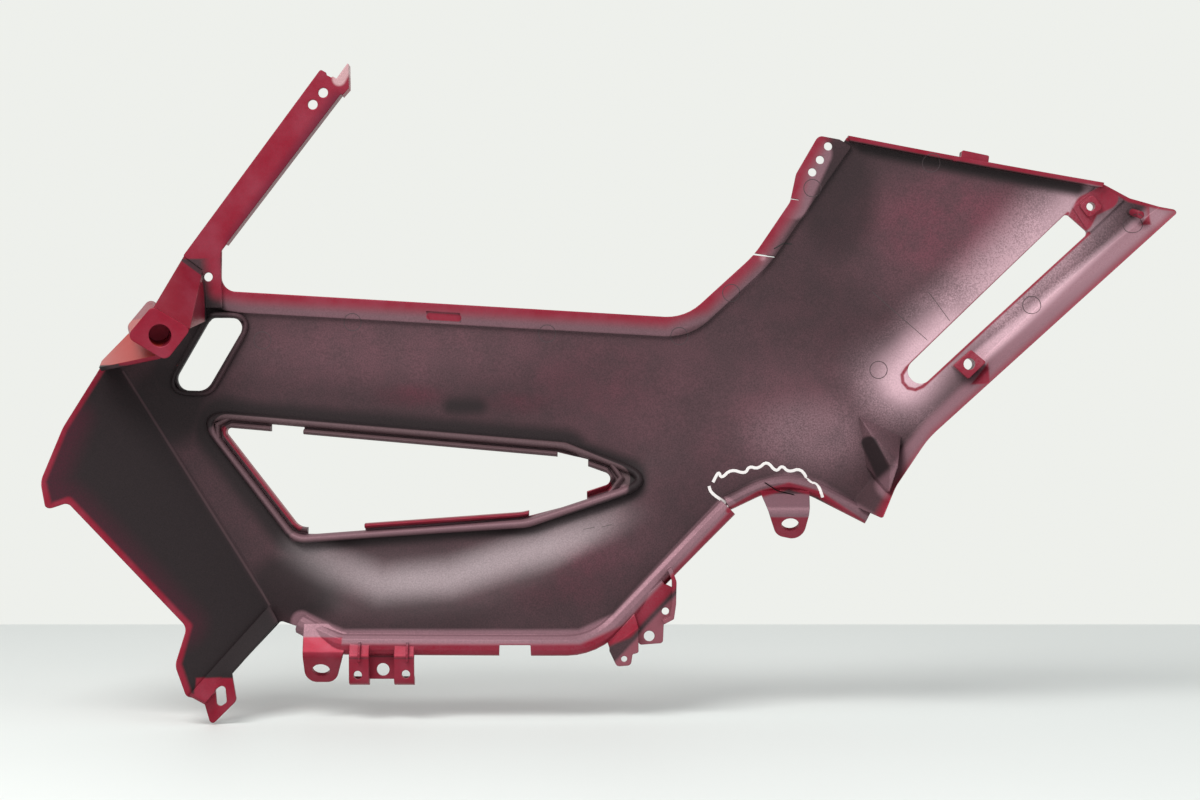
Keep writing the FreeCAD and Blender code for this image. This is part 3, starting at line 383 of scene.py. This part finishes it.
def makeCoverMaterial(settings):
    material = bpy.data.materials.new("coverFinishAndPaintedLight")
    material.use_nodes = True
    tree = material.node_tree
    shader = tree.nodes["Principled BSDF"]
    coords = tree.nodes.new("ShaderNodeTexCoord")
    place = vecCalc(tree, "MULTIPLY", coords.outputs["Object"], (perMetre, perMetre, perMetre))
    facing = tree.nodes.new("ShaderNodeNewGeometry").outputs["Normal"]
    outside = span(tree, vecCalc(tree, "DOT_PRODUCT", facing, (0, 1, 0)), *settings["outsideSpan"])
    inward = without(tree, outside)
    upward = span(tree, vecCalc(tree, "DOT_PRODUCT", facing, (0, 0, 1)), *settings["upwardSpan"])
    dust = useGroup(tree, dustGroup, Place=place, Size=settings["dustSize"])
    # ambient occlusion thins the overspray in hollows, which also paints shade into corners and beside raised
    # parts
    hollow = tree.nodes.new("ShaderNodeAmbientOcclusion")
    hollow.samples = settings["raySamples"]
    hollow.inputs["Distance"].default_value = settings["hollowReach"]
    openness = span(tree, hollow.outputs["AO"], *settings["hollowSpan"])

    def stroke(name):
        return strokes(tree, place, *settings[name])

    def patch(name, core):
        return patches(tree, place, settings[name], settings[core])

    def box(name, soft="boxSoft"):
        return boxes(tree, place, [settings[name]], settings[soft])

    def speckled(name):
        return lerp(tree, dust["Dust"], *settings["speckle"][name])

    # bare plastic and painted shade: the wing beyond its fold is bare plastic; round the window, under the
    # tail lip, in the pocket and in the corners by the boss and the belly the dark is partly painted shade
    wing = beyond(tree, place, *settings["wingLine"])
    bareAndShadeStrokes = [strokes(tree, place, *entry) for entry in settings["bare"]]
    bare = most(tree, *bareAndShadeStrokes, patch("bareAndShadePatches", "bareAndShadeCore"))
    bare = most(tree, product(tree, bare, settings["bareAndShadeMost"]), wing)
    kept = without(tree, bare)
    wornAmount = product(tree, dust["Grain"], lerp(tree, wing, 1.0, settings["wingGrain"]))
    plastic = blend(tree, wornAmount, settings["plastic"], settings["plasticWorn"])

    # overspray on the inside: thin everywhere, wine red in places, pale beside the long slot and left of the
    # pocket, partly a painted highlight where faces turn to the light; a painted highlight line on the strip
    # below the slot
    fogged = calc(tree, "ADD", patch("sprayed", "sprayCore"), settings["sprayBase"])
    cloudy = span(tree, dust["Cloud"], *settings["cloudSpan"])
    reachedAndShade = lerp(tree, settings["hollowShare"], 1.0, openness)
    slotSprayAndSheen = product(tree, stroke("slotSprayAndSheen"), settings["slotSprayAndSheenMost"])
    pale = most(tree, calc(tree, "ADD", slotSprayAndSheen, patch("pale", "sprayCore")), stroke("stripHighlight"))
    amount = product(tree, fogged, cloudy, speckled("spray"), reachedAndShade, kept)
    amount = calc(tree, "MINIMUM", most(tree, amount, product(tree, pale, kept)), 1.0)
    wine = calc(tree, "ADD", patch("wine", "sprayCore"), settings["wineBase"])
    wine = product(tree, span(tree, dust["Cloud"], *settings["wineSpan"]), wine)
    sprayed = blend(tree, calc(tree, "MINIMUM", wine, 1.0), settings["spray"], settings["sprayWine"])
    sprayed = blend(tree, product(tree, pale, speckled("pale")), sprayed, settings["paleSprayAndHighlight"])
    inside = blend(tree, amount, plastic, sprayed)

    # the belly's shine as a painted highlight, the window's rim, the haze along the beads with a painted
    # highlight on the window's lower and left rim, the wing's edge, and a painted highlight along the fold
    shine = product(tree, stroke("shineLine"), speckled("shine"), patch("shineReach", "shineCore"))
    inside = blend(tree, shine, inside, settings["shine"])
    inside = blend(tree, product(tree, stroke("windowLine"), speckled("rim")), inside, settings["rim"])
    bracket = product(tree, box("bracketBox"), beyond(tree, place, *settings["bracketLine"]))
    hazes = [product(tree, strokes(tree, place, *entry), weight) for *entry, weight in settings["hazes"]]
    haze = product(tree, most(tree, *hazes, box("earBox"), bracket), speckled("haze"))
    inside = blend(tree, haze, inside, settings["haze"])
    wingGlow = product(tree, stroke("wingGlow"), wing, speckled("wingGlow"))
    inside = blend(tree, wingGlow, inside, settings["wineDark"])
    # painted highlight: a thin light line along the wing's fold
    inside = blend(tree, product(tree, stroke("creaseHighlightLine"), settings["creaseHighlightMost"]), inside, settings["rim"])

    # thick paint: the edges, the tabs and the whole outside
    edges = [strokes(tree, place, *entry) for entry in settings["edges"]]
    tabs = boxes(tree, place, settings["boxes"], settings["boxSoft"])
    bracketPaint = product(tree, bracket, settings["bracketPaint"])
    paint = most(tree, *edges, tabs, bracketPaint, stroke("tailPatch"))
    # paint on the upward faces of the wing's top edge; its lighter salmon tone there is a painted highlight
    litSalmonPaint = product(tree, box("litSalmonBox", "litSalmonSoft"), upward)
    paint = most(tree, product(tree, paint, speckled("paint")), outside, litSalmonPaint)
    pink = product(tree, span(tree, dust["Cloud"], *settings["pinkSpan"]), inward, settings["pinkMost"])
    painted = blend(tree, pink, settings["red"], settings["redPink"])
    painted = blend(tree, litSalmonPaint, painted, settings["litSalmonPaint"])
    # painted highlight: a pale tone on the fin at the strut's top, where it faces the light
    painted = blend(tree, product(tree, stroke("finHighlightLine"), settings["finHighlightMost"]), painted, settings["finHighlightTone"])
    strutShade = product(tree, stroke("strutShade"), inward, settings["strutShadeMost"])
    painted = blend(tree, strutShade, painted, settings["wineDark"])
    feed(tree, shader.inputs["Base Color"], blend(tree, paint, inside, painted))

    roughness = settings["roughness"]
    rough = lerp(tree, amount, roughness["bare"], roughness["sprayed"])
    for mask, name in ((haze, "haze"), (paint, "paint"), (outside, "outside")):
        rough = lerp(tree, mask, rough, roughness[name])
    rough = calc(tree, "ADD", rough, product(tree, dust["Grain"], roughness["grain"]))
    feed(tree, shader.inputs["Roughness"], rough)
    metal = most(tree, product(tree, amount, settings["sprayMetal"]), haze, paint)
    feed(tree, shader.inputs["Metallic"], product(tree, metal, settings["metallic"]))
    feed(tree, shader.inputs["Coat Weight"], product(tree, outside, settings["coat"]))
    shader.inputs["Coat Roughness"].default_value = settings["coatRoughness"]
    shader.inputs["Specular IOR Level"].default_value = settings["specularLevel"]

    softEdge = tree.nodes.new("ShaderNodeBevel")
    softEdge.samples = settings["raySamples"]
    softEdge.inputs["Radius"].default_value = settings["edgeRadius"]
    bump = tree.nodes.new("ShaderNodeBump")
    bump.inputs["Strength"].default_value = settings["bumpStrength"]
    bump.inputs["Distance"].default_value = settings["bumpDistance"]
    feed(tree, bump.inputs["Height"], product(tree, dust["Grain"], inward))
    feed(tree, bump.inputs["Normal"], softEdge.outputs["Normal"])
    feed(tree, shader.inputs["Normal"], bump.outputs["Normal"])
    return material


coverMaterial = makeCoverMaterial(coverFinishAndPaintedLight)
cover.data.materials.clear()
cover.data.materials.append(coverMaterial)
print("cover finish made")

inboard = -200.0    # a depth clear of the cover, from which rays are cast outboard


def makeSkinTree():
    corners = [cover.matrix_world @ vertex.co for vertex in cover.data.vertices]
    return BVHTree.FromPolygons(corners, [tuple(face.vertices) for face in cover.data.polygons])


skinTree = makeSkinTree()


# the inside face at a place, with its normal turned inboard
def onSkin(x, z, depth=inboard):
    spot, normal, _, _ = skinTree.ray_cast(Vector((x, depth, z)) / perMetre, Vector((0, 1, 0)))
    if spot is None:
        return None
    return spot, normal if normal.y < 0 else -normal


def walk(path, step):
    spots = []
    for (x0, z0), (x1, z1) in zip(path, path[1:]):
        count = max(1, round(math.hypot(x1 - x0, z1 - z0) / step))
        spots += [(x0 + (x1 - x0) * k / count, z0 + (z1 - z0) * k / count) for k in range(count)]
    return spots + [path[-1]]


# faces between neighbouring rows of vertices
def joinRows(bm, rows, others):
    for one, other in zip(rows, others):
        for k in range(len(one) - 1):
            bm.faces.new((one[k], one[k + 1], other[k + 1], other[k]))


def addPiece(name, bm, material):
    mesh = bpy.data.meshes.new(name)
    bmesh.ops.recalc_face_normals(bm, faces=bm.faces)
    bm.to_mesh(mesh)
    bm.free()
    mesh.materials.append(material)
    for face in mesh.polygons:
        face.use_smooth = True
    piece = bpy.data.objects.new(name, mesh)
    scene.collection.objects.link(piece)
    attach(piece, "root")


# round beads over the rims of the window and the small slot
rimSettings = {
    "window": {
        "corners": [    # x, z and corner radius
            (-343.4, 57.4, 9), (-137, 39.3, 36), (-99.5, 26, 8.7), (-159.4, 6.1, 40), (-295.7, -3.7, 15),
        ],
        "offset": 6.9, "width": 5.4, "height": 4.9, "depth": inboard,
    },
    "slot": {
        "corners": [(-350.2, 123.6, 10), (-326.5, 123.6, 9), (-351.5, 79.2, 10), (-376.5, 79.2, 10)],
        "offset": 1.6, "width": 3.4, "height": 3.4, "depth": 9.0,    # past the arm, which hides this rim
    },
    "crestSteps": 8,
    "arcSteps": 8,
    "runStep": 9.0,
    "footing": 1.2,       # how deep the bead sits in the wall
    "clearOfRim": 5.5,    # how far outside the bead the wall's depth is read
}


def offsetLoop(corners, offset):
    moved = []
    count = len(corners)
    for index in range(count):
        spots = [Vector(corners[(index + k) % count][:2]) for k in (-1, 0, 1)]
        ways = [(spots[k + 1] - spots[k]).normalized() for k in (0, 1)]
        sides = [Vector((-way.y, way.x)) for way in ways]
        middle = (sides[0] + sides[1]).normalized()
        moved.append(spots[1] + middle * (offset / middle.dot(sides[0])))
    return moved


def roundLoop(corners, offset, steps):
    spots = offsetLoop(corners, offset)
    count = len(spots)
    loop = []
    for index, (_, _, radius) in enumerate(corners):
        before, spot, after = (spots[(index + k) % count] for k in (-1, 0, 1))
        back = (before - spot).normalized()
        ahead = (after - spot).normalized()
        trim = radius / math.tan(back.angle(ahead) / 2)
        first = spot + back * trim
        last = spot + ahead * trim
        for k in range(steps + 1):
            t = k / steps
            loop.append(first * (1 - t) ** 2 + spot * 2 * t * (1 - t) + last * t ** 2)
    return [tuple(spot) for spot in loop + loop[:1]]


def makeRim(name, entry, settings):
    loop = walk(roundLoop(entry["corners"], entry["offset"], settings["arcSteps"]), settings["runStep"])[:-1]
    steps = settings["crestSteps"]
    reach = entry["width"] / 2 + settings["clearOfRim"]
    bm = bmesh.new()
    rings = []
    for index, (x, z) in enumerate(loop):
        along = Vector(loop[(index + 1) % len(loop)]) - Vector(loop[index - 1])
        side = Vector((-along.y, along.x)).normalized()
        spot, _ = onSkin(x + side.x * reach, z + side.y * reach, entry["depth"])
        middle = Vector((x / perMetre, spot.y, z / perMetre))
        ring = []
        for k in range(steps + 1):
            turn = math.pi * k / steps
            across = entry["width"] / 2 * math.cos(turn)
            rise = entry["height"] * math.sin(turn)
            if k in (0, steps):
                rise -= settings["footing"]
            ring.append(bm.verts.new(middle + Vector((side.x * across, -rise, side.y * across)) / perMetre))
        rings.append(ring)
    joinRows(bm, rings, rings[1:] + rings[:1])
    addPiece(name, bm, coverMaterial)


makeRim("windowRim", rimSettings["window"], rimSettings)
makeRim("slotRim", rimSettings["slot"], rimSettings)
print("rims made")


def rounded(path):
    spots = [path[0]]
    for (x0, z0), (x1, z1) in zip(path, path[1:]):
        for t in (0.25, 0.75):
            spots.append((x0 * (1 - t) + x1 * t, z0 * (1 - t) + z1 * t))
    return spots + [path[-1]]


def ringPath(x, z, radius=5.2, steps=40):
    turns = [2 * math.pi * k / steps for k in range(steps + 1)]
    return [(x + radius * math.cos(turn), z + radius * math.sin(turn)) for turn in turns]


# marks that lie on the inside face, as low ridges
markerPaths = [
    [(-48, 21.7), (-46.8, 17.5), (-37.7, 11.4)],
    [(-45.6, 24), (-42, 31), (-40.7, 26), (-34.7, 32), (-26, 29), (-23.8, 33.8), (-18.3, 32), (-12.9, 37),
     (-7.4, 30), (-3.8, 34.4), (0, 30), (7.7, 32.6), (12.6, 24), (17.4, 23.5), (20.4, 15)],
]
ringSpots = [
    (-319, 110), (-264, 121), (-146, 114), (-66, 112.5), (14, 201.5), (-34.7, 138.5), (85, 216), (201.5, 178),
    (144.6, 130.7), (54.4, 92),
]
markSettings = {
    "markerLine": {
        "material": ("marker", (0.80, 0.76, 0.75), 0.6),    # name, colour and roughness
        "width": 1.8, "lift": 0.12,
        "paths": [rounded(rounded(path)) for path in markerPaths],
    },
    "crackLine": {
        "material": ("crack", (0.012, 0.008, 0.009), 0.8),
        "width": 0.7, "lift": 0.06,
        "paths": [[(-14, 23.5), (-6.8, 18.7), (3.5, 16.3)], [(-9, 165), (-3, 168.5), (2, 168)]],
    },
    "ejectorRings": {
        "material": ("ringEdge", (0.045, 0.022, 0.028), 0.5),
        "width": 0.45, "lift": 0.08,
        "paths": [ringPath(x, z) for x, z in ringSpots],
    },
    "scratches": {
        "material": ("scratch", (0.045, 0.030, 0.033), 0.6),
        "width": 0.35, "lift": 0.05,
        "paths": [[(50.7, 139), (83.4, 110)], [(84, 139), (96.7, 121.6)], [(-124, -4), (-117, -2.5)],
                  [(-113, -2.5), (-107, -1)]],
    },
}
markStep = 1.2
markFoot = 0.00003    # metres that a mark's edges stand off the face


def plainMaterial(name, color, rough):
    material = bpy.data.materials.new(name)
    material.use_nodes = True
    shader = material.node_tree.nodes["Principled BSDF"]
    shader.inputs["Base Color"].default_value = (*color, 1)
    shader.inputs["Roughness"].default_value = rough
    return material


def layLine(bm, path, width, lift):
    rows = []
    hits = [hit for hit in (onSkin(x, z) for x, z in walk(path, markStep)) if hit]
    for index, (spot, normal) in enumerate(hits):
        along = hits[min(index + 1, len(hits) - 1)][0] - hits[max(index - 1, 0)][0]
        side = normal.cross(along).normalized() * width / (2 * perMetre)
        low = normal * markFoot
        high = normal * lift / perMetre
        rows.append([bm.verts.new(v) for v in (spot - side + low, spot + high, spot + side + low)])
    joinRows(bm, rows, rows[1:])


for markName, mark in markSettings.items():
    markMesh = bmesh.new()
    for markPath in mark["paths"]:
        layLine(markMesh, markPath, mark["width"], mark["lift"])
    addPiece(markName, markMesh, plainMaterial(*mark["material"]))
print("marks laid on the inside face")

# pale table top, light and camera
stageSettings = {
    "floorHeight": cadLow.z - 0.001,
    "floorX": (-2.6, 2.4),
    "floorY": (-2.6, 0.62),
    "floorColor": (0.80, 0.825, 0.81),
    "floorDim": 0.97,
    "floorTone": (3.0, 3.0),    # scale and detail of the faint clouds
    "floorRoughness": 0.6,
    "wallColor": (0.855, 0.87, 0.835),
    "skyColor": (0.97, 1.0, 1.0),
    "skyStrength": 0.55,
    "lamps": {                  # place, target, width and height, power, colour
        "keyLamp": ((-0.75, -1.1, 1.35), (-0.1, 0, 0.05), (1.1, 0.8), 26.0, (1.0, 0.99, 0.97)),
        "fillLamp": ((1.3, -1.4, 0.7), (0, 0, 0.08), (1.0, 1.0), 7.0, (0.96, 0.98, 1.0)),
    },
    "cameraPlace": (-0.114, -1.5, 0.0738),
    "cameraTurn": (math.radians(90), 0, 0),
    "lens": 75.0,
    "sensorWidth": 36.0,
    "clip": (0.05, 20.0),
}


def makeFloor(settings):
    mesh = bpy.data.meshes.new("tableTop")
    bm = bmesh.new()
    left, right = settings["floorX"]
    front, back = settings["floorY"]
    outline = ((left, front), (right, front), (right, back), (left, back))
    bm.faces.new([bm.verts.new((x, y, settings["floorHeight"])) for x, y in outline])
    bm.to_mesh(mesh)
    bm.free()
    floor = bpy.data.objects.new("tableTop", mesh)
    scene.collection.objects.link(floor)
    material = plainMaterial("tableTop", settings["floorColor"], settings["floorRoughness"])
    tree = material.node_tree
    shader = tree.nodes["Principled BSDF"]
    coords = tree.nodes.new("ShaderNodeTexCoord")
    tone = cloud(tree, coords.outputs["Object"], *settings["floorTone"])
    dim = [v * settings["floorDim"] for v in settings["floorColor"]]
    feed(tree, shader.inputs["Base Color"], blend(tree, tone, dim, settings["floorColor"]))
    mesh.materials.append(material)


# camera and mirror rays see the pale wall, the rest is lit by a dimmer sky
def makeWorld(settings):
    world = bpy.data.worlds.new("room")
    scene.world = world
    world.use_nodes = True
    tree = world.node_tree
    tree.nodes.clear()
    wall = tree.nodes.new("ShaderNodeBackground")
    wall.inputs["Color"].default_value = (*settings["wallColor"], 1)
    sky = tree.nodes.new("ShaderNodeBackground")
    sky.inputs["Color"].default_value = (*settings["skyColor"], 1)
    sky.inputs["Strength"].default_value = settings["skyStrength"]
    path = tree.nodes.new("ShaderNodeLightPath")
    seen = most(tree, *(path.outputs[f"Is {ray} Ray"] for ray in ("Camera", "Glossy", "Transmission")))
    pick = tree.nodes.new("ShaderNodeMixShader")
    out = tree.nodes.new("ShaderNodeOutputWorld")
    tree.links.new(seen, pick.inputs[0])
    tree.links.new(sky.outputs[0], pick.inputs[1])
    tree.links.new(wall.outputs[0], pick.inputs[2])
    tree.links.new(pick.outputs[0], out.inputs["Surface"])


def addLamp(name, place, target, size, power, color):
    lamp = bpy.data.lights.new(name, "AREA")
    lamp.shape = "RECTANGLE"
    lamp.size, lamp.size_y = size
    lamp.energy = power
    lamp.color = color
    holder = bpy.data.objects.new(name, lamp)
    holder.location = place
    holder.rotation_mode = "QUATERNION"
    holder.rotation_quaternion = (Vector(target) - Vector(place)).to_track_quat("-Z", "Y")
    scene.collection.objects.link(holder)


def addCamera(settings):
    lens = bpy.data.cameras.new("camera")
    lens.lens = settings["lens"]
    lens.sensor_width = settings["sensorWidth"]
    lens.clip_start, lens.clip_end = settings["clip"]
    camera = bpy.data.objects.new("camera", lens)
    camera.location = settings["cameraPlace"]
    camera.rotation_euler = settings["cameraTurn"]
    scene.collection.objects.link(camera)
    scene.camera = camera


makeFloor(stageSettings)
makeWorld(stageSettings)
for lampName, lampValues in stageSettings["lamps"].items():
    addLamp(lampName, *lampValues)
addCamera(stageSettings)
scene.view_settings.view_transform = "Standard"
print("table, light and camera set")
